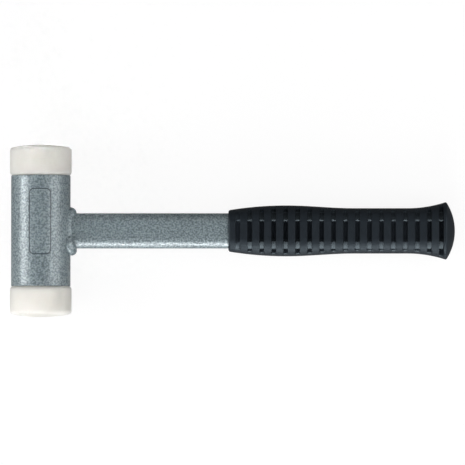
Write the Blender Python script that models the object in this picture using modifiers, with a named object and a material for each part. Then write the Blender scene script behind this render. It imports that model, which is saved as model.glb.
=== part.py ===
"""Dead blow hammer lying on its side, in metres, +Z up.

A steel tube head lies along Y, with a nylon face pressed into each end and loose steel shot in between.
A flat-oval steel handle, welded to the head, runs along +X into a pocketed rubber grip.
The origin is under the middle of the hammer, on the surface that the head lies on.
"""

import math

import bmesh
import bpy
from mathutils import Matrix

# Head tube
TUBE_DIAMETER = 0.0386
TUBE_WALL = 0.0050
TUBE_LENGTH = 0.0731
TUBE_EDGE_RADIUS = 0.0006

# Nylon striking faces, measured from the end of the tube
FACE_DIAMETER = 0.0400
FACE_HEIGHT = 0.0194
FACE_CROWN_RADIUS = 0.0950
FACE_FLAT_DIAMETER = 0.0100
FACE_EDGE_RADIUS = 0.0022
FACE_SHOULDER_RADIUS = 0.0025
SPIGOT_LENGTH = 0.0130
SPIGOT_CHAMFER = 0.0012

# Plugs that close the shot chamber
PLUG_THICKNESS = 0.0040
PLUG_CHAMFER = 0.0006

# Steel shot: rings of balls that fill the bore, and a column of balls in the middle of them
SHOT_RINGS = 4
RING_SHOT_COUNT = 8
COLUMN_SHOT_COUNT = 3

# Flat-oval handle tube
HANDLE_HEIGHT = 0.0229
HANDLE_DEPTH = 0.0130
HANDLE_WALL = 0.0020
HANDLE_SHOWN = 0.1027

# Weld bead round the foot of the handle
WELD_LEG = 0.0041

# Rubber grip: its length, and the rubber over the handle along it
GRIP_LENGTH = 0.1474
GRIP_END_RUBBER = 0.0120
RUBBER_AT_FRONT = 0.0017
RUBBER_AT_SWELL = 0.0048
RUBBER_AT_NECK = 0.0030
RUBBER_AT_RIM = 0.0069
FRONT_TO_SWELL = 0.0375
SWELL_TO_NECK = 0.0448
FLARE_LENGTH = 0.0245
FRONT_ROUNDING = 0.0010
RIM_ROUNDING = 0.0012
DOME_RISE = 0.0050

# Rings of pockets in the grip
POCKET_RINGS = 18
FIRST_POCKET = 0.0061
LAST_POCKET = 0.0090
POCKET_WIDTH = 0.0029
POCKET_FLOOR_HEIGHT = 0.0112
POCKET_WEB = 0.0008
POCKET_STEP = 0.0012
POCKET_DRAFT = 0.0016
CORNER_WEB = 0.0021
SPINE_WIDTH = 0.0110

# Clearance between pieces that touch, and how far a cutter runs past what it cuts
FIT_GAP = 0.0003
CUT_PAST = 0.0040

# Fineness of round forms
ROUND_STEPS = 40
OVAL_STEPS = 16
FILLET_STEPS = 4
CROWN_STEPS = 3
WELD_SIDES_STEPS = 6
SHOT_STEPS = 2
MERGE_DISTANCE = 0.00001
SHARP_ANGLE = math.radians(30)

# Colour, roughness and metallic value of each finish
PAINT = ((0.170, 0.212, 0.232), 0.42, 0.60)
NYLON = ((0.800, 0.775, 0.705), 0.45, 0.00)
RUBBER = ((0.018, 0.023, 0.028), 0.62, 0.00)
STEEL = ((0.560, 0.570, 0.580), 0.30, 1.00)

# Places along the handle, from the middle of the head
TUBE_RADIUS = TUBE_DIAMETER / 2
BORE_RADIUS = TUBE_RADIUS - TUBE_WALL
HEAD_RADIUS = max(FACE_DIAMETER, TUBE_DIAMETER) / 2
GRIP_FRONT = TUBE_RADIUS + HANDLE_SHOWN
GRIP_TIP = GRIP_FRONT + GRIP_LENGTH
HANDLE_END = GRIP_TIP - GRIP_END_RUBBER - FIT_GAP

# The largest ball of which a full ring fits in the bore
SHOT_STAGGER = math.pi / RING_SHOT_COUNT
SHOT_CHORD = math.sin(SHOT_STAGGER)
SHOT_DIAMETER = (2 * (BORE_RADIUS - FIT_GAP) * SHOT_CHORD - FIT_GAP) / (1 + SHOT_CHORD)

# The flat half of the oval, which the handle and the grip share, and the rounding of each
FLAT_HALF = (HANDLE_HEIGHT - HANDLE_DEPTH) / 2
HANDLE_ROUND = HANDLE_DEPTH / 2
GRIP_BORE_ROUND = HANDLE_ROUND + FIT_GAP


def clear_scene():
    for old in list(bpy.data.objects):
        bpy.data.objects.remove(old, do_unlink=True)


def collection(name):
    made = bpy.data.collections.new(name)
    bpy.context.scene.collection.children.link(made)
    return made


def finish(name, look):
    colour, roughness, metallic = look
    material = bpy.data.materials.new(name)
    material.use_nodes = True
    shader = material.node_tree.nodes["Principled BSDF"]
    shader.inputs["Base Color"].default_value = (*colour, 1.0)
    shader.inputs["Roughness"].default_value = roughness
    shader.inputs["Metallic"].default_value = metallic
    return material


def add_part(name, mesh, material, parent):
    mesh.materials.clear()
    mesh.materials.append(material)
    part = bpy.data.objects.new(name, mesh)
    part.parent = parent
    parts.objects.link(part)
    return part


def add_cutter(name, mesh, parent):
    cutter = bpy.data.objects.new(name, mesh)
    cutter.parent = parent
    cutter.hide_render = True
    cutter.display_type = "WIRE"
    cutters.objects.link(cutter)
    return cutter


def cut(part, cutter):
    boolean = part.modifiers.new(cutter.name, "BOOLEAN")
    boolean.operation = "DIFFERENCE"
    boolean.solver = "EXACT"
    boolean.object = cutter


def smooth(mesh):
    mesh.shade_smooth()
    mesh.set_sharp_from_angle(angle=SHARP_ANGLE)


def arc(centre, radius, start, end, steps):
    """Points on a circle about centre, from one angle to another."""
    angles = [start + (end - start) * i / steps for i in range(steps + 1)]
    return [(centre[0] + radius * math.cos(a), centre[1] + radius * math.sin(a)) for a in angles]


def flat_oval(flat_half, radius):
    """A flat-sided oval in Y and Z: two half circles about the ends of its flat."""
    quarter = math.pi / 2
    upper = arc((flat_half, 0.0), radius, -quarter, quarter, OVAL_STEPS)
    lower = arc((-flat_half, 0.0), radius, quarter, 3 * quarter, OVAL_STEPS)
    return upper + lower


def turned_mesh(name, profile, closed):
    """A chain of (radius, height) points, which runs down its outer side."""
    mesh = bpy.data.meshes.new(name)
    shape = bmesh.new()
    chain = [shape.verts.new((radius, 0.0, height)) for radius, height in profile]
    for first, second in zip(chain, chain[1:]):
        shape.edges.new((first, second))
    if closed:
        shape.edges.new((chain[-1], chain[0]))
    shape.to_mesh(mesh)
    shape.free()
    return mesh


def turn(part):
    """Sweeps the part's profile once round its own Z axis."""
    screw = part.modifiers.new("turn", "SCREW")
    screw.axis = "Z"
    screw.steps = ROUND_STEPS
    screw.render_steps = ROUND_STEPS
    screw.use_merge_vertices = True
    screw.merge_threshold = MERGE_DISTANCE


def along_head(part, centre, direction):
    """Stands a turned part in the head: its Z axis along +Y or -Y, its origin at centre along Y."""
    part.location = (0.0, centre, 0.0)
    part.rotation_euler = (-direction * math.pi / 2, 0.0, 0.0)


def mesh_from_curve(curve, matrix):
    """The closed mesh of a curve, moved by matrix. The curve is removed."""
    guide = bpy.data.objects.new(curve.name, curve)
    bpy.context.scene.collection.objects.link(guide)
    graph = bpy.context.evaluated_depsgraph_get()
    mesh = bpy.data.meshes.new_from_object(guide.evaluated_get(graph))
    bpy.data.objects.remove(guide, do_unlink=True)
    mesh.transform(matrix)
    shape = bmesh.new()
    shape.from_mesh(mesh)
    bmesh.ops.remove_doubles(shape, verts=shape.verts, dist=MERGE_DISTANCE)
    bmesh.ops.recalc_face_normals(shape, faces=shape.faces)
    shape.to_mesh(mesh)
    shape.free()
    return mesh


def spline(curve, points):
    path = curve.splines.new("POLY")
    path.points.add(len(points) - 1)
    for point, place in zip(path.points, points):
        point.co = (*place, 1.0)
    path.use_cyclic_u = True


def prism_mesh(name, outlines, start, end):
    """Outlines in Y and Z, holes among them, filled and drawn out along X from start to end."""
    curve = bpy.data.curves.new(name, "CURVE")
    curve.dimensions = "2D"
    curve.fill_mode = "BOTH"
    curve.extrude = (end - start) / 2
    for outline in outlines:
        spline(curve, [(y, z, 0.0) for y, z in outline])
    along_x = Matrix(((0, 0, 1, 0), (1, 0, 0, 0), (0, 1, 0, 0), (0, 0, 0, 1)))
    return mesh_from_curve(curve, Matrix.Translation(((start + end) / 2, 0.0, 0.0)) @ along_x)


def loft_mesh(name, rings):
    """A skin over rings of as many points each, with both ends filled."""
    mesh = bpy.data.meshes.new(name)
    shape = bmesh.new()
    loops = [[shape.verts.new(point) for point in ring] for ring in rings]
    for near, far in zip(loops, loops[1:]):
        for i in range(len(near)):
            shape.faces.new((near[i - 1], near[i], far[i], far[i - 1]))
    shape.faces.new(loops[0])
    shape.faces.new(loops[-1])
    bmesh.ops.recalc_face_normals(shape, faces=shape.faces)
    shape.to_mesh(mesh)
    shape.free()
    smooth(mesh)
    return mesh


def make_head_tube(frame):
    """An open tube with its outer edges broken."""
    end = TUBE_LENGTH / 2
    edge = TUBE_EDGE_RADIUS
    quarter = math.pi / 2
    outer_top = arc((TUBE_RADIUS - edge, end - edge), edge, quarter, 0.0, FILLET_STEPS)
    outer_bottom = arc((TUBE_RADIUS - edge, edge - end), edge, 0.0, -quarter, FILLET_STEPS)
    profile = outer_top + outer_bottom + [(BORE_RADIUS, -end), (BORE_RADIUS, end)]
    tube = add_part("head_tube", turned_mesh("head_tube", profile, closed=True), paint, frame)
    turn(tube)
    along_head(tube, 0.0, 1)


def face_profile():
    """A crowned cap with a small flat in the middle and rounded edges, and a spigot below the tube's end."""
    radius = FACE_DIAMETER / 2
    flat = FACE_FLAT_DIAMETER / 2
    crown = FACE_CROWN_RADIUS
    edge = FACE_EDGE_RADIUS
    shoulder = FACE_SHOULDER_RADIUS
    spigot = BORE_RADIUS - FIT_GAP
    crown_centre = FACE_HEIGHT - math.sqrt(crown**2 - flat**2)
    edge_centre = crown_centre + math.sqrt((crown - edge) ** 2 - (radius - edge) ** 2)
    lean = math.atan2(edge_centre - crown_centre, radius - edge)
    points = [(0.0, FACE_HEIGHT)]
    points += arc((0.0, crown_centre), crown, math.acos(flat / crown), lean, CROWN_STEPS)
    points += arc((radius - edge, edge_centre), edge, lean, 0.0, FILLET_STEPS)[1:]
    points += arc((radius - shoulder, FIT_GAP + shoulder), shoulder, 0.0, -math.pi / 2, FILLET_STEPS)
    points += [
        (spigot, FIT_GAP),
        (spigot, SPIGOT_CHAMFER - SPIGOT_LENGTH),
        (spigot - SPIGOT_CHAMFER, -SPIGOT_LENGTH),
        (0.0, -SPIGOT_LENGTH),
    ]
    return points


def make_faces(frame):
    mesh = turned_mesh("striking_face", face_profile(), closed=False)
    for name, direction in (("upper_face", 1), ("lower_face", -1)):
        face = add_part(name, mesh, nylon, frame)
        turn(face)
        along_head(face, direction * TUBE_LENGTH / 2, direction)


def make_chamber_plugs(frame):
    radius = BORE_RADIUS - FIT_GAP
    half = PLUG_THICKNESS / 2
    profile = [
        (0.0, half),
        (radius - PLUG_CHAMFER, half),
        (radius, half - PLUG_CHAMFER),
        (radius, PLUG_CHAMFER - half),
        (radius - PLUG_CHAMFER, -half),
        (0.0, -half),
    ]
    mesh = turned_mesh("chamber_plug", profile, closed=False)
    centre = TUBE_LENGTH / 2 - SPIGOT_LENGTH - FIT_GAP - half
    for name, direction in (("upper_chamber_plug", 1), ("lower_chamber_plug", -1)):
        plug = add_part(name, mesh, steel, frame)
        turn(plug)
        along_head(plug, direction * centre, direction)


def shot_places():
    """Rings of balls against the bore, each nested in the last, and a column of balls in the middle."""
    pitch = SHOT_DIAMETER + FIT_GAP
    ring_radius = BORE_RADIUS - FIT_GAP - SHOT_DIAMETER / 2
    aside = 2 * ring_radius * math.sin(SHOT_STAGGER / 2)
    ring_pitch = math.sqrt(pitch**2 - aside**2)
    places = []
    for i in range(COLUMN_SHOT_COUNT):
        places.append((0.0, (i - (COLUMN_SHOT_COUNT - 1) / 2) * pitch, 0.0))
    for i in range(SHOT_RINGS):
        along = (i - (SHOT_RINGS - 1) / 2) * ring_pitch
        for j in range(RING_SHOT_COUNT):
            angle = (2 * j + i % 2) * SHOT_STAGGER
            places.append((ring_radius * math.cos(angle), along, ring_radius * math.sin(angle)))
    return places


def make_shot(frame):
    """The balls, on an empty in the middle of the chamber that slides along Y."""
    charge = bpy.data.objects.new("shot_charge", None)
    charge.parent = frame
    parts.objects.link(charge)
    mesh = bpy.data.meshes.new("shot")
    ball = bmesh.new()
    bmesh.ops.create_icosphere(ball, subdivisions=SHOT_STEPS, radius=SHOT_DIAMETER / 2)
    ball.to_mesh(mesh)
    ball.free()
    mesh.shade_smooth()
    for number, place in enumerate(shot_places(), start=1):
        shot = add_part(f"shot_{number:02d}", mesh, steel, charge)
        shot.location = place


def make_handle(frame, head_cutter):
    """A flat-oval tube whose end is coped to the round of the head."""
    outside = flat_oval(FLAT_HALF, HANDLE_ROUND)
    inside = flat_oval(FLAT_HALF, HANDLE_ROUND - HANDLE_WALL)
    mesh = prism_mesh("handle_tube", (outside, inside), 0.0, HANDLE_END)
    smooth(mesh)
    handle = add_part("handle_tube", mesh, paint, frame)
    cut(handle, head_cutter)


def make_weld(frame, head_cutter, handle_cutter):
    """A round bead along the line where the handle meets the head, trimmed to both."""
    curve = bpy.data.curves.new("weld_bead", "CURVE")
    curve.dimensions = "3D"
    curve.bevel_depth = WELD_LEG
    curve.bevel_resolution = WELD_SIDES_STEPS
    outline = flat_oval(FLAT_HALF, HANDLE_ROUND)
    spline(curve, [(math.sqrt(TUBE_RADIUS**2 - z**2), y, z) for y, z in outline])
    mesh = mesh_from_curve(curve, Matrix.Identity(4))
    smooth(mesh)
    weld = add_part("weld_bead", mesh, paint, frame)
    cut(weld, head_cutter)
    cut(weld, handle_cutter)


def rubber_at(along):
    """Rubber over the handle, at a distance from the front: a swell, a straight neck and a flare."""
    neck_start = FRONT_TO_SWELL + SWELL_TO_NECK
    flare_start = GRIP_LENGTH - DOME_RISE - RIM_ROUNDING - FLARE_LENGTH
    if along < FRONT_TO_SWELL:
        short = 1.0 - along / FRONT_TO_SWELL
        return RUBBER_AT_SWELL - (RUBBER_AT_SWELL - RUBBER_AT_FRONT) * short**2
    if along < neck_start:
        turned = math.pi * (along - FRONT_TO_SWELL) / SWELL_TO_NECK
        return RUBBER_AT_NECK + (RUBBER_AT_SWELL - RUBBER_AT_NECK) * (1.0 + math.cos(turned)) / 2
    past = max(along - flare_start, 0.0) / FLARE_LENGTH
    return RUBBER_AT_NECK + (RUBBER_AT_RIM - RUBBER_AT_NECK) * past**2


def grip_rings():
    """Ovals along the grip, from its rounded front edge to the middle of its domed end."""
    front = FRONT_ROUNDING
    rim = GRIP_LENGTH - DOME_RISE - RIM_ROUNDING
    neck_start = FRONT_TO_SWELL + SWELL_TO_NECK
    flare_start = rim - FLARE_LENGTH
    stops = (front, FRONT_TO_SWELL, neck_start, flare_start, rim)
    steps = (6, 8, 1, 6)
    stations = [front]
    for start, end, count in zip(stops, stops[1:], steps):
        stations += [start + (end - start) * (i + 1) / count for i in range(count)]
    quarter = math.pi / 2
    section = []
    for along, inset in arc((front, front), front, 2 * quarter, 3 * quarter, FILLET_STEPS)[:-1]:
        section.append((along, rubber_at(along) - inset))
    section += [(along, rubber_at(along)) for along in stations]
    for along, drop in arc((rim, 0.0), RIM_ROUNDING, quarter, quarter / 3, FILLET_STEPS)[1:]:
        section.append((along, rubber_at(rim) - RIM_ROUNDING + drop))
    rings = []
    for along, rubber in section:
        oval = flat_oval(FLAT_HALF, GRIP_BORE_ROUND + rubber)
        rings.append([(GRIP_FRONT + along, y, z) for y, z in oval])
    return rings + dome_rings(rings[-1])


def dome_rings(edge):
    """The edge oval drawn in towards its middle along a shallow round."""
    rise = GRIP_TIP - edge[0][0]
    reach = max(abs(y) for _, y, _ in edge)
    radius = (reach**2 + rise**2) / (2 * rise)
    rings = []
    for share in (0.8, 0.55, 0.3, 0.1):
        fall = radius - math.sqrt(radius**2 - (share * reach) ** 2)
        rings.append([(GRIP_TIP - fall, share * y, share * z) for _, y, z in edge])
    return rings


def pocket_outline():
    """One side of a pocket ring: a deep middle, sloping corners and a ledge beside each spine."""
    floor = GRIP_BORE_ROUND + POCKET_WEB
    spine = SPINE_WIDTH / 2
    corner = math.sqrt((GRIP_BORE_ROUND + CORNER_WEB) ** 2 - spine**2)
    reach = FLAT_HALF + GRIP_BORE_ROUND + RUBBER_AT_RIM + CUT_PAST
    half = [
        (POCKET_FLOOR_HEIGHT / 2, floor),
        (POCKET_FLOOR_HEIGHT / 2 + POCKET_DRAFT, floor + POCKET_STEP),
        (FLAT_HALF + corner, spine),
        (reach, spine),
        (reach, reach),
    ]
    return half + [(-y, z) for y, z in reversed(half)]


def make_pocket_cutter(frame):
    """The rings of pockets: one ring's front side, repeated along the grip and mirrored to its back."""
    first = GRIP_FRONT + FIRST_POCKET
    pitch = (GRIP_LENGTH - FIRST_POCKET - LAST_POCKET) / (POCKET_RINGS - 1)
    half = POCKET_WIDTH / 2
    mesh = prism_mesh("grip_pockets", (pocket_outline(),), first - half, first + half)
    cutter = add_cutter("grip_pockets", mesh, frame)
    row = cutter.modifiers.new("row", "ARRAY")
    row.count = POCKET_RINGS
    row.use_relative_offset = False
    row.use_constant_offset = True
    row.constant_offset_displace = (pitch, 0.0, 0.0)
    sides = cutter.modifiers.new("front_and_back", "MIRROR")
    sides.use_axis = (False, False, True)
    sides.use_mirror_merge = False
    return cutter


def make_grip(frame):
    """A sleeve with a blind bore for the handle and rings of pockets between two smooth spines."""
    grip = add_part("grip", loft_mesh("grip", grip_rings()), rubber, frame)
    bore_outline = (flat_oval(FLAT_HALF, GRIP_BORE_ROUND),)
    bore = prism_mesh("grip_bore", bore_outline, GRIP_FRONT - CUT_PAST, HANDLE_END + FIT_GAP)
    cut(grip, add_cutter("grip_bore", bore, frame))
    cut(grip, make_pocket_cutter(frame))


def make_head_cutter(frame):
    """The outside of the head tube with its clearance, for what is coped to it."""
    mesh = bpy.data.meshes.new("head_outside")
    shape = bmesh.new()
    radius = TUBE_RADIUS + FIT_GAP
    bmesh.ops.create_cone(
        shape, cap_ends=True, segments=ROUND_STEPS, radius1=radius, radius2=radius, depth=TUBE_LENGTH
    )
    shape.to_mesh(mesh)
    shape.free()
    cutter = add_cutter("head_outside", mesh, frame)
    along_head(cutter, 0.0, 1)
    return cutter


def make_handle_cutter(frame):
    """The outside of the handle with its clearance, for the weld that runs round it."""
    outline = (flat_oval(FLAT_HALF, HANDLE_ROUND + FIT_GAP),)
    mesh = prism_mesh("handle_outside", outline, 0.0, GRIP_FRONT)
    return add_cutter("handle_outside", mesh, frame)


def make_hammer():
    """Every piece, built from the middle of the head and set so that the hammer lies over the origin."""
    frame = bpy.data.objects.new("hammer_frame", None)
    frame.location = ((HEAD_RADIUS - GRIP_TIP) / 2, 0.0, HEAD_RADIUS)
    parts.objects.link(frame)
    head_cutter = make_head_cutter(frame)
    handle_cutter = make_handle_cutter(frame)
    make_head_tube(frame)
    make_faces(frame)
    make_chamber_plugs(frame)
    make_shot(frame)
    make_handle(frame, head_cutter)
    make_weld(frame, head_cutter, handle_cutter)
    make_grip(frame)


clear_scene()
parts = collection("dead_blow_hammer")
cutters = collection("cutters")
paint = finish("hammertone_paint", PAINT)
nylon = finish("nylon", NYLON)
rubber = finish("rubber", RUBBER)
steel = finish("bare_steel", STEEL)
make_hammer()
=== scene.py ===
"""A dead blow hammer on a white studio floor, seen from almost straight above.

Head along Y, handle along +X, in metres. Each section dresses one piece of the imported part, in the order in
which the hammer is put together.
"""

import math

import bmesh
import bpy
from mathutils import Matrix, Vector


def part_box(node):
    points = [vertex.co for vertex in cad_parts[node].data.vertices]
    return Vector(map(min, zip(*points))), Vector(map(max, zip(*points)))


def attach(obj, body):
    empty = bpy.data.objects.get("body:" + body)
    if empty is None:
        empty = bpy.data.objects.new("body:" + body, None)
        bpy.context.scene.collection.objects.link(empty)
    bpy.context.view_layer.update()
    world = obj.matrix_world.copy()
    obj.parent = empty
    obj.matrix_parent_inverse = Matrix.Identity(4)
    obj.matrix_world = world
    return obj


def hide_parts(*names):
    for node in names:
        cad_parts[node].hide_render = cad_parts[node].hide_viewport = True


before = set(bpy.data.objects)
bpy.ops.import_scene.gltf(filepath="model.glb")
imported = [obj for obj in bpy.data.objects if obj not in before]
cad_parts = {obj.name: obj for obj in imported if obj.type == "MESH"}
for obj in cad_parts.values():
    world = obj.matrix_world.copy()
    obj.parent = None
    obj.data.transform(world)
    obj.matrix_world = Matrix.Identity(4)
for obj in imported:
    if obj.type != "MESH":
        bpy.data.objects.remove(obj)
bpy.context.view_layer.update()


# Head tube
# A length of thick-walled drawn steel tube that houses the shot, its ends turned square with a broken edge.
# It is sprayed with hammertone enamel after welding, and a plain border is printed on it in black.

tube_low, tube_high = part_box("head_tube")
head_centre = (tube_low + tube_high) / 2
tube_radius = (tube_high.x - tube_low.x) / 2
tube_length = 0.0721
tube_wall = 0.0050
tube_edge = 0.0006
tube_edge_steps = 6
bore_radius = tube_radius - tube_wall


def arc(centre, radius, start, end, steps):
    """Points on a circle, from one angle in degrees to another."""
    turned = [math.radians(start + (end - start) * i / steps) for i in range(steps + 1)]
    return [(centre[0] + radius * math.cos(a), centre[1] + radius * math.sin(a)) for a in turned]


def piece_from(name, mesh, material, sharp=35):
    """A mesh as a finished piece, with its faces outwards and its edges sharp past an angle in degrees."""
    shape = bmesh.new()
    shape.from_mesh(mesh)
    bmesh.ops.remove_doubles(shape, verts=shape.verts, dist=1e-7)
    bmesh.ops.recalc_face_normals(shape, faces=shape.faces)
    shape.to_mesh(mesh)
    shape.free()
    mesh.shade_smooth()
    mesh.set_sharp_from_angle(angle=math.radians(sharp))
    mesh.materials.clear()
    mesh.materials.append(material)
    piece = bpy.data.objects.new(name, mesh)
    bpy.context.scene.collection.objects.link(piece)
    return piece


def turned_on_head(profile, middle, direction, steps=144):
    """(radius, height) points turned round the head's axis, heights from middle along +Y or -Y."""
    shape = bmesh.new()
    rings = []
    for radius, height in profile:
        ring = []
        for i in range(steps):
            a = 2 * math.pi * i / steps
            offset = Vector((radius * math.cos(a), direction * height, radius * math.sin(a)))
            ring.append(shape.verts.new(middle + offset))
        rings.append(ring)
    for near, far in zip(rings, rings[1:] + rings[:1]):
        for i in range(steps):
            shape.faces.new((near[i - 1], near[i], far[i], far[i - 1]))
    mesh = bpy.data.meshes.new("turned")
    shape.to_mesh(mesh)
    shape.free()
    return mesh


class Wire:
    """One value in a node tree. Sums and products of wires add the math nodes that make them."""

    def __init__(self, tree, socket):
        self.tree = tree
        self.socket = socket

    def step(self, operation, *others):
        node = self.tree.nodes.new("ShaderNodeMath")
        node.operation = operation
        for socket, value in zip(node.inputs, (self, *others)):
            connect(self.tree, value, socket)
        return Wire(self.tree, node.outputs[0])

    def ramp(self, start, end, low, high, smooth=False):
        """low before start, high past end, and in between from one to the other."""
        node = self.tree.nodes.new("ShaderNodeMapRange")
        node.interpolation_type = "SMOOTHSTEP" if smooth else "LINEAR"
        for socket, value in zip(node.inputs, (self, start, end, low, high)):
            connect(self.tree, value, socket)
        return Wire(self.tree, node.outputs[0])

    def __add__(self, other):
        return self.step("ADD", other)

    def __sub__(self, other):
        return self.step("SUBTRACT", other)

    def __mul__(self, other):
        return self.step("MULTIPLY", other)

    def __truediv__(self, other):
        return self.step("DIVIDE", other)

    def __abs__(self):
        return self.step("ABSOLUTE")

    def squared(self):
        return self.step("MULTIPLY", self)

    def root(self):
        return self.step("SQRT")

    def least(self, other):
        return self.step("MINIMUM", other)

    def most(self, other):
        return self.step("MAXIMUM", other)


def connect(tree, value, socket):
    """Links a Wire to a socket, or sets a plain value on it."""
    if isinstance(value, Wire):
        tree.links.new(value.socket, socket)
    else:
        socket.default_value = value


def new_finish(name):
    """A material, its node tree, its shader and the socket of its object coordinates."""
    material = bpy.data.materials.new(name)
    material.use_nodes = True
    tree = material.node_tree
    shader = tree.nodes["Principled BSDF"]
    place = tree.nodes.new("ShaderNodeTexCoord").outputs["Object"]
    return material, tree, shader, place


def grain(tree, place, size, detail=2.0):
    """Noise between 0 and 1 with a grain of about this size."""
    node = tree.nodes.new("ShaderNodeTexNoise")
    node.inputs["Scale"].default_value = 1 / size
    node.inputs["Detail"].default_value = detail
    tree.links.new(place, node.inputs["Vector"])
    return Wire(tree, node.outputs["Fac"])


def blend_colours(tree, share, first, second):
    """The first colour where share is 0, the second where it is 1."""
    node = tree.nodes.new("ShaderNodeMix")
    node.data_type = "RGBA"
    connect(tree, share, node.inputs["Factor"])
    for socket, colour in ((node.inputs[6], first), (node.inputs[7], second)):
        connect(tree, colour if isinstance(colour, Wire) else (*colour, 1.0), socket)
    return Wire(tree, node.outputs[2])


def dimple(tree, shader, height, strength, depth):
    """Bumps a surface by a height between 0 and 1, which stands for a depth in metres."""
    node = tree.nodes.new("ShaderNodeBump")
    node.inputs["Strength"].default_value = strength
    node.inputs["Distance"].default_value = depth
    connect(tree, height, node.inputs["Height"])
    tree.links.new(node.outputs["Normal"], shader.inputs["Normal"])


bead_size = 0.0012
bead_height = 0.00022
colour_between = (0.118, 0.157, 0.174)
colour_on_top = (0.330, 0.404, 0.430)
roughness_between = 0.38
roughness_on_top = 0.28


def hammertone(name, rougher=0.0):
    """Enamel that draws up into fine crooked beads, pale with flake on top and darker in between."""
    material, tree, shader, place = new_finish(name)
    bead = grain(tree, place, bead_size, 1.0).ramp(0.36, 0.64, 0.0, 1.0)
    colour = blend_colours(tree, bead, colour_between, colour_on_top)
    connect(tree, colour, shader.inputs["Base Color"])
    roughness = bead.ramp(0.0, 1.0, roughness_between + rougher, roughness_on_top + rougher)
    connect(tree, roughness, shader.inputs["Roughness"])
    shader.inputs["Metallic"].default_value = 0.15
    shader.inputs["Specular IOR Level"].default_value = 1.0
    shader.inputs["Coat Weight"].default_value = 0.20
    shader.inputs["Coat Roughness"].default_value = 0.25
    dimple(tree, shader, bead, 0.50, bead_height)
    return material, tree, shader, place, colour


border_width = 0.0142
border_height = 0.0424
border_corner = 0.0032
border_line = 0.0007
border_middle = (head_centre.x - 0.0001, head_centre.y + 0.0059)
border_ink = (0.010, 0.026, 0.036)

# The coat on the handle and the weld is a little duller than on the head
paint = hammertone("hammertone_paint", rougher=0.04)[0]
printed_paint, tree, shader, place, paint_colour = hammertone("hammertone_paint_printed")
split = tree.nodes.new("ShaderNodeSeparateXYZ")
tree.links.new(place, split.inputs[0])
across, along, up = (Wire(tree, socket) for socket in split.outputs)
# Distance from a rectangle smaller than the border by its corner radius, with widths taken round the head
round_head = (across - head_centre.x).step("ARCTAN2", up - head_centre.z) * tube_radius
aside = abs(round_head - (border_middle[0] - head_centre.x)) - (border_width / 2 - border_corner)
beyond = abs(along - border_middle[1]) - (border_height / 2 - border_corner)
outside = (aside.most(0.0).squared() + beyond.most(0.0).squared()).root() + aside.most(beyond).least(0.0)
ink = abs(outside - border_corner).ramp(border_line * 0.3, border_line * 0.7, 1.0, 0.0)
connect(tree, blend_colours(tree, ink, paint_colour, border_ink), shader.inputs["Base Color"])

tube_end = tube_length / 2
tube_profile = arc((tube_radius - tube_edge, tube_end - tube_edge), tube_edge, 90, 0, tube_edge_steps)
tube_profile += [(tube_radius, tube_end - 2 * tube_edge), (tube_radius, 2 * tube_edge - tube_end)]
tube_profile += arc((tube_radius - tube_edge, tube_edge - tube_end), tube_edge, 0, -90, tube_edge_steps)
tube_profile += [(bore_radius, -tube_end), (bore_radius, tube_end)]
head_tube = piece_from("head_tube_painted", turned_on_head(tube_profile, head_centre, 1), printed_paint)
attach(head_tube, "hammer")
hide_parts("head_tube")


# Striking faces
# Two caps of natural nylon, turned with a crown, a rounded rim and a spigot that is pressed into the tube.
# A worn face is drawn out of the tube and a new one driven in.

nylon_deep = (0.802, 0.782, 0.722)
nylon_pale = (0.828, 0.810, 0.755)
nylon_cloud = 0.009
nylon_grain = 0.0012

nylon, tree, shader, place = new_finish("nylon")
cloud = grain(tree, place, nylon_cloud, 3.0)
tone = blend_colours(tree, cloud.ramp(0.3, 0.7, 0.0, 1.0), nylon_deep, nylon_pale)
connect(tree, tone, shader.inputs["Base Color"])
shader.inputs["Roughness"].default_value = 0.60
shader.inputs["Subsurface Weight"].default_value = 1.0
shader.inputs["Subsurface Radius"].default_value = (1.0, 1.0, 1.0)
shader.inputs["Subsurface Scale"].default_value = 0.012
dimple(tree, shader, grain(tree, place, nylon_grain), 0.08, 0.0002)

face_crown = 0.0950
face_flat = 0.0050
face_rim = 0.0022
face_shoulder = 0.0020
face_steps = 8
# A short straight beside each round of the side, which keeps the shading of the side even
side_end = 0.001
spigot_chamfer = 0.0012
# Clearance of the spigot in the bore, and of the cap on the tube's end
fit = 0.0003
seat = 0.00002

for node, direction in (("upper_face", 1), ("lower_face", -1)):
    low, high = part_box(node)
    radius = (high.x - low.x) / 2
    spigot = bore_radius - fit
    inner, outer = sorted(abs(y - head_centre.y) for y in (low.y, high.y))
    height = outer - tube_end
    spigot_length = tube_end - inner
    crown_middle = height - math.sqrt(face_crown**2 - face_flat**2)
    rim_middle = crown_middle + math.sqrt((face_crown - face_rim) ** 2 - (radius - face_rim) ** 2)
    lean = math.degrees(math.atan2(rim_middle - crown_middle, radius - face_rim))
    start = math.degrees(math.acos(face_flat / face_crown))
    profile = [(0.0, height), (face_flat * 0.5, height)]
    profile += arc((0.0, crown_middle), face_crown, start, lean, face_steps)
    profile += arc((radius - face_rim, rim_middle), face_rim, lean, 0, face_steps)[1:]
    profile += [(radius, rim_middle - side_end), (radius, seat + face_shoulder + side_end)]
    profile += arc((radius - face_shoulder, seat + face_shoulder), face_shoulder, 0, -90, face_steps)
    profile += [(spigot, seat), (spigot, spigot_chamfer - spigot_length)]
    profile += [(spigot - spigot_chamfer, -spigot_length), (0.0, -spigot_length)]
    middle = head_centre + Vector((0.0, direction * tube_end, 0.0))
    face = piece_from(node + "_nylon", turned_on_head(profile, middle, direction), nylon)
    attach(face, "hammer")
    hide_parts(node)


# Shot and chamber plugs
# Loose steel shot slides along the head and lands just after the face does, so the blow doesn't bounce.
# A steel disc pressed into the tube behind each face keeps the shot in.

steel_colour = (0.560, 0.570, 0.580)
rub_size = 0.0004

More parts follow.
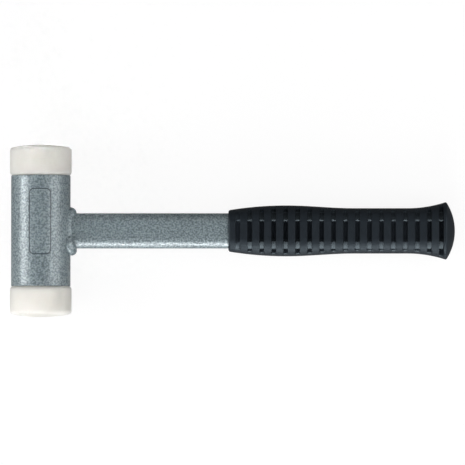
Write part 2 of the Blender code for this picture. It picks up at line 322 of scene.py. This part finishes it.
steel, tree, shader, place = new_finish("bare_steel")
rub = grain(tree, place, rub_size, 3.0)
connect(tree, rub.ramp(0.3, 0.7, 0.24, 0.36), shader.inputs["Roughness"])
shader.inputs["Base Color"].default_value = (*steel_colour, 1.0)
shader.inputs["Metallic"].default_value = 1.0

for node in ("upper_chamber_plug", "lower_chamber_plug"):
    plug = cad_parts[node]
    plug.data.materials.clear()
    plug.data.materials.append(steel)


def new_tree(name, sizes):
    """A geometry tree that takes a geometry, named sizes and a material, with a Wire for each input."""
    tree = bpy.data.node_groups.new(name, "GeometryNodeTree")
    tree.interface.new_socket("Geometry", in_out="INPUT", socket_type="NodeSocketGeometry")
    tree.interface.new_socket("Geometry", in_out="OUTPUT", socket_type="NodeSocketGeometry")
    for size, value in sizes.items():
        kind = "NodeSocketInt" if isinstance(value, int) else "NodeSocketFloat"
        tree.interface.new_socket(size, in_out="INPUT", socket_type=kind)
    tree.interface.new_socket("Material", in_out="INPUT", socket_type="NodeSocketMaterial")
    given = tree.nodes.new("NodeGroupInput")
    return tree, {socket.name: Wire(tree, socket) for socket in given.outputs if socket.name}


def add_node(tree, kind, inputs):
    """A node with its inputs set or linked, by name."""
    node = tree.nodes.new(kind)
    for name, value in inputs.items():
        connect(tree, value, node.inputs[name])
    return node


def moved(tree, geometry, x, y, z):
    """A geometry with its points put at x, y and z."""
    place = tree.nodes.new("ShaderNodeCombineXYZ")
    for socket, value in zip(place.inputs, (x, y, z)):
        connect(tree, value, socket)
    inputs = {"Geometry": geometry, "Position": Wire(tree, place.outputs[0])}
    return Wire(tree, add_node(tree, "GeometryNodeSetPosition", inputs).outputs[0])


def close_tree(tree, given, geometry):
    """Ends a tree: instances are made real and the material is set."""
    plain = add_node(tree, "GeometryNodeRealizeInstances", {"Geometry": geometry})
    plain = Wire(tree, plain.outputs[0])
    painted = add_node(tree, "GeometryNodeSetMaterial", {"Geometry": plain, "Material": given["Material"]})
    tree.links.new(painted.outputs[0], tree.nodes.new("NodeGroupOutput").inputs[0])


def grown(name, start, tree, sizes, material, sharp=35):
    """Runs a geometry tree on a starting mesh and keeps the result as a plain piece."""
    seed = bpy.data.objects.new(name + "_seed", start)
    bpy.context.scene.collection.objects.link(seed)
    modifier = seed.modifiers.new("grow", "NODES")
    modifier.node_group = tree
    values = {**sizes, "Material": material}
    for socket in tree.interface.items_tree:
        if socket.in_out == "INPUT" and socket.name in values:
            modifier[socket.identifier] = values[socket.name]
    graph = bpy.context.evaluated_depsgraph_get()
    mesh = bpy.data.meshes.new_from_object(seed.evaluated_get(graph))
    bpy.data.objects.remove(seed)
    return piece_from(name, mesh, material, sharp)


def points_mesh(name, points, closed=False):
    """A chain of points joined by edges."""
    mesh = bpy.data.meshes.new(name)
    edges = [(i, i + 1) for i in range(len(points) - 1)]
    if closed:
        edges.append((len(points) - 1, 0))
    mesh.from_pydata(points, edges, [])
    return mesh


shot_nodes = sorted(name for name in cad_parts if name.startswith("shot_"))
shot_boxes = [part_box(name) for name in shot_nodes]
shot_middles = [(low + high) / 2 for low, high in shot_boxes]
shot_sizes = {
    "Ball radius": (shot_boxes[0][1].z - shot_boxes[0][0].z) / 2,
    "Ball fineness": 4,
}
tree, given = new_tree("shot_charge", shot_sizes)
ball = add_node(
    tree,
    "GeometryNodeMeshIcoSphere",
    {"Radius": given["Ball radius"], "Subdivisions": given["Ball fineness"]},
)
balls = add_node(
    tree,
    "GeometryNodeInstanceOnPoints",
    {"Points": given["Geometry"], "Instance": Wire(tree, ball.outputs["Mesh"])},
)
close_tree(tree, given, Wire(tree, balls.outputs[0]))
shot = grown("shot_charge", points_mesh("shot", shot_middles), tree, shot_sizes, steel)
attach(shot, "shot")
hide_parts(*shot_nodes)


# Handle tube
# A steel tube pressed to a flat oval, coped at one end to sit on the head and welded there.
# It is sprayed with the head, and its other end runs deep into the grip.

handle_low, handle_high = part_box("handle_tube")
handle_round = (handle_high.z - handle_low.z) / 2
handle_flat = (handle_high.y - handle_low.y) / 2 - handle_round
handle_wall = 0.0020
handle_steps = 32
handle_end = handle_high.x - head_centre.x


def flat_oval(radius, steps):
    """A flat-sided oval in Y and Z: two half circles about the ends of its flat."""
    one_end = arc((handle_flat, 0.0), radius, -90, 90, steps)
    return one_end + arc((-handle_flat, 0.0), radius, 90, 270, steps)


def coped(z):
    """How far from the head's axis the handle begins at a height z: a fit off the round of the head."""
    return math.sqrt((tube_radius + fit) ** 2 - z**2)


shape = bmesh.new()
loops = []
for radius, ends in ((handle_round, (0, 1)), (handle_round - handle_wall, (1, 0))):
    outline = flat_oval(radius, handle_steps)
    for end in ends:
        loop = []
        for y, z in outline:
            x = handle_end if end else coped(z)
            loop.append(shape.verts.new(head_centre + Vector((x, y, z))))
        loops.append(loop)
for near, far in zip(loops, loops[1:] + loops[:1]):
    for i in range(len(near)):
        shape.faces.new((near[i - 1], near[i], far[i], far[i - 1]))
handle_mesh = bpy.data.meshes.new("handle_tube_painted")
shape.to_mesh(handle_mesh)
shape.free()
handle = piece_from("handle_tube_painted", handle_mesh, paint)
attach(handle, "hammer")
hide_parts("handle_tube")


# Weld bead
# One pass of weld round the handle's foot, heaped where it starts and stops at the handle's lower edge.
# Its ripples show through the enamel.

weld_sizes = {
    "Leg": 0.0041,
    "Head radius": tube_radius,
    "Sunk": 0.00015,
    "Ripples": 27,
    "Ripple height": 0.00028,
    "Ripple lag": 0.9,
    "Ripple fullness": 0.7,
    "Ripple level": 0.6,
    "Unevenness": 0.0006,
    "Lump size": 0.0038,
    "Heap": 0.0012,
    "Heap y": -0.0105,
    "Heap z": 0.0052,
    "Heap spread": 0.0085,
    "Heap on crest": 1.2,
    "Slimmer in front": 0.42,
    "Slimmer from": 0.5,
    "Slimmest from": 0.95,
    "Thin edge": 8.0,
    "Thinner from": 0.3,
    "Thinnest from": 0.9,
    "Points across": 24,
}
tree, given = new_tree("weld_bead", weld_sizes)
line = add_node(tree, "GeometryNodeMeshToCurve", {"Mesh": given["Geometry"]})
foot = tree.nodes.new("GeometryNodeCaptureAttribute")
foot.capture_items.new("VECTOR", "foot")
foot.capture_items.new("FLOAT", "round")
position = tree.nodes.new("GeometryNodeInputPosition")
measure = tree.nodes.new("GeometryNodeSplineParameter")
tree.links.new(line.outputs[0], foot.inputs["Geometry"])
tree.links.new(position.outputs[0], foot.inputs["foot"])
tree.links.new(measure.outputs["Factor"], foot.inputs["round"])
ring = add_node(tree, "GeometryNodeCurvePrimitiveCircle", {"Resolution": given["Points across"]})
across = tree.nodes.new("GeometryNodeCaptureAttribute")
across.capture_items.new("INT", "across")
index = tree.nodes.new("GeometryNodeInputIndex")
tree.links.new(ring.outputs["Curve"], across.inputs["Geometry"])
tree.links.new(index.outputs[0], across.inputs["across"])
skin = tree.nodes.new("GeometryNodeCurveToMesh")
tree.links.new(foot.outputs["Geometry"], skin.inputs["Curve"])
tree.links.new(across.outputs["Geometry"], skin.inputs["Profile Curve"])
split = tree.nodes.new("ShaderNodeSeparateXYZ")
tree.links.new(foot.outputs["foot"], split.inputs[0])
foot_x, foot_y, foot_z = (Wire(tree, socket) for socket in split.outputs)
turn_round = Wire(tree, foot.outputs["round"])
number = Wire(tree, across.outputs["across"])
# Out from the handle, square to its oval
flat_y = foot_y.most(-handle_flat).least(handle_flat)
out_y = (foot_y - flat_y) / handle_round
out_z = foot_z / handle_round
# The bead fans from the handle's side to the head's, whose surface falls away in front and behind
swing = number.ramp(1, given["Points across"] - 1, 0.0, math.pi / 2)
fall = (out_z * foot_z / foot_x).step("ARCTANGENT")
wave = (turn_round * given["Ripples"] * math.pi + swing.step("SINE") * given["Ripple lag"]).step("SINE")
ripple = abs(wave).step("POWER", given["Ripple fullness"]) - given["Ripple level"]
lumps = add_node(
    tree,
    "ShaderNodeTexNoise",
    {"Scale": given["Lump size"].step("POWER", -1.0), "Detail": 1.0},
)
tree.links.new(foot.outputs["foot"], lumps.inputs["Vector"])
uneven = (Wire(tree, lumps.outputs["Fac"]) - 0.5) * given["Unevenness"]
far_off = ((foot_y - given["Heap y"]).squared() + (foot_z - given["Heap z"]).squared()).root()
heaped = far_off.ramp(0.0, given["Heap spread"], 1.0, 0.0, smooth=True)
heap = heaped * given["Heap"]
crest = (swing * 2.0).step("SINE")
# In front and behind, off the heap, the bead is slimmer and its edge runs out thin onto the head
facing = abs(out_z)
slimmest = given["Slimmer in front"]
slimmer = facing.ramp(given["Slimmer from"], given["Slimmest from"], 0.0, slimmest, smooth=True)
leg = given["Leg"] * (slimmer * (heaped - 1.0) + 1.0)
leg = leg + uneven + (ripple * given["Ripple height"] + heap * given["Heap on crest"]) * crest
reach = leg * number.step("GREATER_THAN", 0.5)
front = facing.ramp(given["Thinner from"], given["Thinnest from"], 0.0, 1.0, smooth=True)
thinned = swing.step("SINE").step("POWER", given["Thin edge"]) * (heaped - 1.0) * front + 1.0
along_handle = reach * swing.step("COSINE") * thinned - given["Sunk"]
along_head = (reach + heap) * swing.step("SINE") - given["Sunk"]
tipped = along_head * fall.step("COSINE")
y = foot_y + out_y * tipped
z = foot_z + out_z * tipped
x = (given["Head radius"].squared() - z.squared()).root() + along_handle
bead = moved(tree, Wire(tree, skin.outputs[0]), x + head_centre.x, y + head_centre.y, z + head_centre.z)
close_tree(tree, given, bead)
# The line where the handle meets the head, with points added along the two flats
weld_round_steps = 110
weld_flat_steps = 44
weld_line = [(math.sqrt(tube_radius**2 - z**2), y, z) for y, z in flat_oval(handle_round, weld_round_steps)]
weld_foot = []
for i, (x0, y0, z0) in enumerate(weld_line):
    weld_foot.append((x0, y0, z0))
    y1 = weld_line[(i + 1) % len(weld_line)][1]
    if abs(y1 - y0) > handle_flat:
        for j in range(1, weld_flat_steps):
            weld_foot.append((x0, y0 + (y1 - y0) * j / weld_flat_steps, z0))
weld = grown("weld_bead_painted", points_mesh("weld", weld_foot, closed=True), tree, weld_sizes, paint, 60)
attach(weld, "hammer")
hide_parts("weld_bead")


# Grip
# A black rubber sleeve moulded to a swell, a neck and a flared end, and pushed onto the handle.
# Eighteen rings of pockets are moulded in from front and back, and leave a smooth spine above and below.

rubber_black = (0.0082, 0.0104, 0.0145)
rubber_bloom = (0.0104, 0.0130, 0.0180)
bloom_size = 0.004
rubber_grain = 0.0005
land_rougher = 0.16

rubber, tree, shader, place = new_finish("rubber")
bloom = grain(tree, place, bloom_size, 3.0)
tone = blend_colours(tree, bloom.ramp(0.3, 0.7, 0.0, 1.0), rubber_black, rubber_bloom)
connect(tree, tone, shader.inputs["Base Color"])
inside = tree.nodes.new("ShaderNodeAttribute")
inside.attribute_name = "pocket"
# The lands are rubbed duller by the hand than the pockets
worn = Wire(tree, inside.outputs["Fac"]).ramp(0.0, 1.0, land_rougher, 0.0)
connect(tree, bloom.ramp(0.3, 0.7, 0.36, 0.42) + worn, shader.inputs["Roughness"])
shader.inputs["Specular IOR Level"].default_value = 0.43
shader.inputs["Specular Tint"].default_value = (0.72, 0.90, 1.0, 1.0)
dimple(tree, shader, grain(tree, place, rubber_grain), 0.05, 0.0001)

grip_low, grip_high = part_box("grip")
grip_front = grip_low.x
grip_length = grip_high.x - grip_low.x
grip_end_rubber = 0.0120
rubber_at_front = 0.0017
rubber_at_swell = 0.0048
rubber_at_neck = 0.0030
rubber_at_rim = 0.0069
front_to_swell = 0.0375
swell_to_neck = 0.0448
flare_length = 0.0245
front_rounding = 0.0013
front_steps = 7
rim_rounding = 0.0012
rim_steps = 6
dome_rise = 0.0050
dome_steps = 16
pocket_rings = 18
first_pocket = 0.0061
last_pocket = 0.0090
pocket_pitch = (grip_length - first_pocket - last_pocket) / (pocket_rings - 1)
pocket_width = 0.0029
pocket_edge = 0.00010
flare_start = grip_length - dome_rise - rim_rounding - flare_length
rim = flare_start + flare_length


def rubber_at(along):
    """Rubber over the handle, at a distance from the grip's front: a swell, a straight neck and a flare."""
    if along < front_to_swell:
        return rubber_at_swell - (rubber_at_swell - rubber_at_front) * (1 - along / front_to_swell) ** 2
    if along < front_to_swell + swell_to_neck:
        turned = math.pi * (along - front_to_swell) / swell_to_neck
        return rubber_at_neck + (rubber_at_swell - rubber_at_neck) * (1 + math.cos(turned)) / 2
    past = max(along - flare_start, 0.0) / flare_length
    return rubber_at_neck + (rubber_at_rim - rubber_at_neck) * past**2


# Stations from the blind end of the bore out to the front, and over the outside to the tip. Each is a
# distance along the grip, the rubber over the bore there, and its share of the way out from the middle.
bore_end = grip_length - grip_end_rubber
stations = [(bore_end, 0.0, share) for share in (0.0, 0.3, 0.6, 0.85, 1.0)]
bore_corner = 0.001
bore_mouth = 0.002
mouth_chamfer_along = 0.0004
mouth_chamfer_out = 0.0003
stations += [(along, 0.0, 1.0) for along in (bore_end - bore_corner, bore_mouth, mouth_chamfer_along)]
stations.append((0.0, mouth_chamfer_out, 1.0))
for along, inset in arc((front_rounding, front_rounding), front_rounding, 180, 270, front_steps):
    stations.append((along, rubber_at(along) - inset, 1.0))
wall_steps = 6
half = pocket_width / 2
for ring in range(pocket_rings):
    middle = first_pocket + ring * pocket_pitch
    wall = [half - pocket_edge + 2 * pocket_edge * i / wall_steps for i in range(wall_steps + 1)]
    across_pocket = [-d for d in reversed(wall)] + [-half / 3, half / 3] + wall
    land = middle - pocket_pitch + half + pocket_edge if ring else front_rounding
    land_end = middle - half - pocket_edge
    land_steps = 5 if ring else 4
    for i in range(1, land_steps):
        along = land + (land_end - land) * i / land_steps
        stations.append((along, rubber_at(along), 1.0))
    for d in across_pocket:
        stations.append((middle + d, rubber_at(middle + d), 1.0))
stations.append((rim, rubber_at(rim), 1.0))
for along, drop in arc((rim, 0.0), rim_rounding, 90, 30, rim_steps)[1:]:
    stations.append((along, rubber_at(rim) - rim_rounding + drop, 1.0))
edge_along, edge_rubber = stations[-1][:2]
dome_reach = handle_flat + handle_round + fit + edge_rubber
dome_fall = grip_length - edge_along
dome_radius = (dome_reach**2 + dome_fall**2) / (2 * dome_fall)
for i in range(1, dome_steps + 1):
    share = 1 - i / dome_steps
    fall = dome_radius - math.sqrt(dome_radius**2 - (share * dome_reach) ** 2)
    stations.append((grip_length - fall, edge_rubber, share))

grip_sizes = {
    "Front": grip_front,
    "Flat half": handle_flat,
    "Bore rounding": handle_round + fit,
    "First pocket": first_pocket,
    "Pocket pitch": pocket_pitch,
    "Pocket rings": pocket_rings,
    "Pocket width": pocket_width,
    "Pocket edge": pocket_edge,
    "Floor half": 0.0056,
    "Floor web": 0.0008,
    "Step": 0.0012,
    "Draft": 0.0016,
    "Corner web": 0.0021,
    "Spine half": 0.0055,
    "Lip": 0.0009,
    "Lip rounding": 0.0020,
    "Ledge least": 0.0004,
    "Ledge reach": 0.0032,
    "Ledge fall": 0.00035,
    "First floor rise": 0.0008,
}
floor_steps, draft_steps, slope_steps, ledge_steps, lip_steps, spine_steps = 8, 5, 9, 8, 4, 6
quarter = floor_steps + draft_steps + slope_steps + ledge_steps + lip_steps + spine_steps

tree, given = new_tree("grip", grip_sizes)
line = add_node(tree, "GeometryNodeMeshToCurve", {"Mesh": given["Geometry"]})
station = tree.nodes.new("GeometryNodeCaptureAttribute")
station.capture_items.new("VECTOR", "station")
position = tree.nodes.new("GeometryNodeInputPosition")
tree.links.new(line.outputs[0], station.inputs["Geometry"])
tree.links.new(position.outputs[0], station.inputs["station"])
ring = add_node(tree, "GeometryNodeCurvePrimitiveCircle", {"Resolution": 4 * quarter})
around = tree.nodes.new("GeometryNodeCaptureAttribute")
around.capture_items.new("INT", "around")
index = tree.nodes.new("GeometryNodeInputIndex")
tree.links.new(ring.outputs["Curve"], around.inputs["Geometry"])
tree.links.new(index.outputs[0], around.inputs["around"])
skin = tree.nodes.new("GeometryNodeCurveToMesh")
tree.links.new(station.outputs["Geometry"], skin.inputs["Curve"])
tree.links.new(around.outputs["Geometry"], skin.inputs["Profile Curve"])
split = tree.nodes.new("ShaderNodeSeparateXYZ")
tree.links.new(station.outputs["station"], split.inputs[0])
along, cover, share = (Wire(tree, socket) for socket in split.outputs)
number = Wire(tree, around.outputs["around"])

# Which quarter of the oval a point is in, and its step from the front middle to the middle of a spine
step = number.step("PINGPONG", quarter)
side_y = number.step("LESS_THAN", 2 * quarter) * 2.0 - 1.0
side_z = abs(number - 2 * quarter).step("GREATER_THAN", quarter - 0.5) * 2.0 - 1.0

# The plain oval: first by its height over the pockets, then round the spine
radius = given["Bore rounding"] + cover
spine = given["Spine half"]
spine_y = given["Flat half"] + (radius.squared() - spine.squared()).root()
mouth_y = given["Floor half"] + given["Draft"]
corner_radius = given["Bore rounding"] + given["Corner web"]
corner_y = given["Flat half"] + (corner_radius.squared() - spine.squared()).root()
near_corner = corner_y.least(spine_y - given["Ledge least"])
stop = floor_steps
rise = step.ramp(0, stop, 0.0, given["Floor half"])
rise = rise + step.ramp(stop, stop + draft_steps, 0.0, given["Draft"])
stop += draft_steps
rise = rise + step.ramp(stop, stop + slope_steps, 0.0, near_corner - mouth_y)
stop += slope_steps
rise = rise + step.ramp(stop, stop + ledge_steps, 0.0, spine_y - near_corner)
stop += ledge_steps
lip = given["Lip"]
past_lip = stop + lip_steps
spine_z = spine - step.ramp(stop, past_lip, 0.0, lip) - step.ramp(past_lip, quarter, 0.0, spine - lip)
y = rise + given["Flat half"] + (radius.squared() - spine_z.squared()).root() - spine_y
plain_z = (radius.squared() - (y - given["Flat half"]).most(0.0).squared()).most(0.0).root()

# The pocket below it: a deep floor, a step up, a slope down to the ledge beside the spine
floor_z = given["Bore rounding"] + given["Floor web"]
step_z = floor_z + given["Step"]
pocket_z = floor_z + y.ramp(given["Floor half"], mouth_y, 0.0, 1.0).squared() * given["Step"]
fall = given["Ledge fall"]
slope_bow = 0.25
down = y.ramp(mouth_y, corner_y, 0.0, 1.0)
pocket_z = pocket_z + (down * (1 - slope_bow) + down.squared() * slope_bow) * (spine + fall - step_z)
pocket_z = pocket_z - y.ramp(corner_y, corner_y + given["Ledge reach"], 0.0, fall)
nearest = ((along - given["First pocket"]) / given["Pocket pitch"]).step("ROUND")
nearest = nearest.most(0.0).least(given["Pocket rings"] - 1)
off = abs(along - given["First pocket"] - nearest * given["Pocket pitch"])
half_width = given["Pocket width"] / 2
edge = given["Pocket edge"]
sunk = off.ramp(half_width - edge, half_width + edge, 1.0, 0.0, smooth=True)
# The first ring is shallower, in the thin rubber at the front
pocket_z = pocket_z + nearest.step("LESS_THAN", 0.5) * given["First floor rise"]
cut_z = plain_z.step("SMOOTH_MIN", pocket_z, given["Lip rounding"])
z = plain_z - (plain_z - cut_z) * sunk
placed = moved(
    tree,
    Wire(tree, skin.outputs[0]),
    along + given["Front"],
    y * share * side_y + head_centre.y,
    z * share * side_z + head_centre.z,
)
marked = add_node(
    tree,
    "GeometryNodeStoreNamedAttribute",
    {"Geometry": placed, "Name": "pocket", "Value": sunk},
)
close_tree(tree, given, Wire(tree, marked.outputs[0]))
grip = grown("grip_rubber", points_mesh("grip", stations), tree, grip_sizes, rubber, 60)
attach(grip, "hammer")
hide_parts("grip")


# Studio
# A white floor that the hammer lies on, touching the faces and the grip's rim, and soft boxes round it.
# The camera looks down through a long lens, from a little nearer than straight above.

floor_half = 8.0
floor_glow = 0.88
# Painted reflection: how brightly the floor glows in reflections on the near and far side, and the y over
# which it fades
painted_reflection_near = 0.90
painted_reflection_far = 0.10
painted_reflection_from = -0.16
painted_reflection_to = 0.0

floor_white, tree, shader, place = new_finish("floor_white")
shader.inputs["Base Color"].default_value = (0.15, 0.15, 0.15, 1.0)
shader.inputs["Roughness"].default_value = 0.9
shader.inputs["Specular IOR Level"].default_value = 0.1
seen = tree.nodes.new("ShaderNodeLightPath")
shown = Wire(tree, seen.outputs["Is Camera Ray"]).most(Wire(tree, seen.outputs["Is Transmission Ray"]))
# Painted reflection: mirrored in the hammer, the floor glows bright on the near side and dim on the far side,
# whose edges stay dark
spot = tree.nodes.new("ShaderNodeSeparateXYZ")
tree.links.new(place, spot.inputs[0])
painted_reflection = Wire(tree, spot.outputs[1]).ramp(painted_reflection_from, painted_reflection_to, painted_reflection_near, painted_reflection_far)
shown = shown.most(Wire(tree, seen.outputs["Is Glossy Ray"]) * painted_reflection)
connect(tree, shown * floor_glow, shader.inputs["Emission Strength"])
shader.inputs["Emission Color"].default_value = (1.0, 1.0, 1.0, 1.0)

# The hammer lies a little tilted on its faces and the grip's rim, so the floor leans under it
rim_depth = handle_round + fit + rubber_at_rim
rim_x = grip_front + rim
head_rim = head_centre.z
lean = math.asin((head_rim - rim_depth) / (rim_x - head_centre.x))
floor_mesh = bpy.data.meshes.new("floor")
shape = bmesh.new()
for side_x, side_y in ((-1, -1), (1, -1), (1, 1), (-1, 1)):
    x = side_x * floor_half
    z = (x - head_centre.x) * math.tan(lean) - (head_rim / math.cos(lean) - head_rim)
    shape.verts.new((x, side_y * floor_half, z))
shape.faces.new(list(shape.verts))
shape.to_mesh(floor_mesh)
shape.free()
floor_mesh.materials.append(floor_white)
floor = bpy.data.objects.new("floor", floor_mesh)
bpy.context.scene.collection.objects.link(floor)


def soft_box(name, place, aim, width, height, watts, spread=180):
    """A rectangular lamp that the camera doesn't see, turned to a point. Its spread is in degrees."""
    light = bpy.data.lights.new(name, "AREA")
    light.shape = "RECTANGLE"
    light.size = width
    light.size_y = height
    light.energy = watts
    light.spread = math.radians(spread)
    lamp = bpy.data.objects.new(name, light)
    lamp.location = place
    lamp.rotation_mode = "QUATERNION"
    lamp.rotation_quaternion = (Vector(aim) - Vector(place)).to_track_quat("-Z", "Y")
    lamp.visible_camera = False
    bpy.context.scene.collection.objects.link(lamp)
    return lamp


at_head = (-0.125, 0.0, 0.02)
at_grip = (0.04, 0.0, 0.02)
at_handle = (-0.025, 0.0, 0.02)
soft_box("left_box", (-1.225, 0.0, 0.48), at_head, width=0.55, height=0.50, watts=6.7)
soft_box("near_box", (0.04, -1.03, 0.30), at_grip, width=0.50, height=0.70, watts=1.08, spread=50)
soft_box("right_box", (0.785, 0.0, 0.63), at_head, width=0.80, height=0.90, watts=5.0)
soft_box("far_box", (0.04, 0.90, 0.80), at_grip, width=0.50, height=0.50, watts=0.9)
soft_box("key_box", (-0.860, -0.86, 0.85), at_handle, width=1.0, height=1.0, watts=8.3)
# A weak narrow lamp along the head from the far side, mainly for the upper striking face
face_fill = soft_box(
    "face_fill", (-0.130, 2.0, 0.75), (-0.130, 0.0, 0.03), width=0.12, height=0.12, watts=0.028, spread=4
)
face_fill.visible_glossy = False

world = bpy.data.worlds.new("studio")
bpy.context.scene.world = world
world.use_nodes = True
world.node_tree.nodes["Background"].inputs["Color"].default_value = (0.95, 0.97, 1.0, 1.0)
world.node_tree.nodes["Background"].inputs["Strength"].default_value = 0.06

camera_height = 5.0
camera_near = 0.13
middle_shown = -0.00105
width_shown = 0.3024
lens = bpy.data.cameras.new("camera")
lens.sensor_width = 36.0
lens.lens = lens.sensor_width * (camera_height - head_centre.z) / width_shown
lens.clip_start = 0.05
lens.clip_end = 50.0
camera = bpy.data.objects.new("camera", lens)
camera.location = (0.0, middle_shown - camera_near, camera_height)
camera.rotation_euler = (math.atan2(camera_near, camera_height - head_centre.z), 0.0, 0.0)
bpy.context.scene.collection.objects.link(camera)
bpy.context.scene.camera = camera
bpy.context.scene.view_settings.view_transform = "Standard"
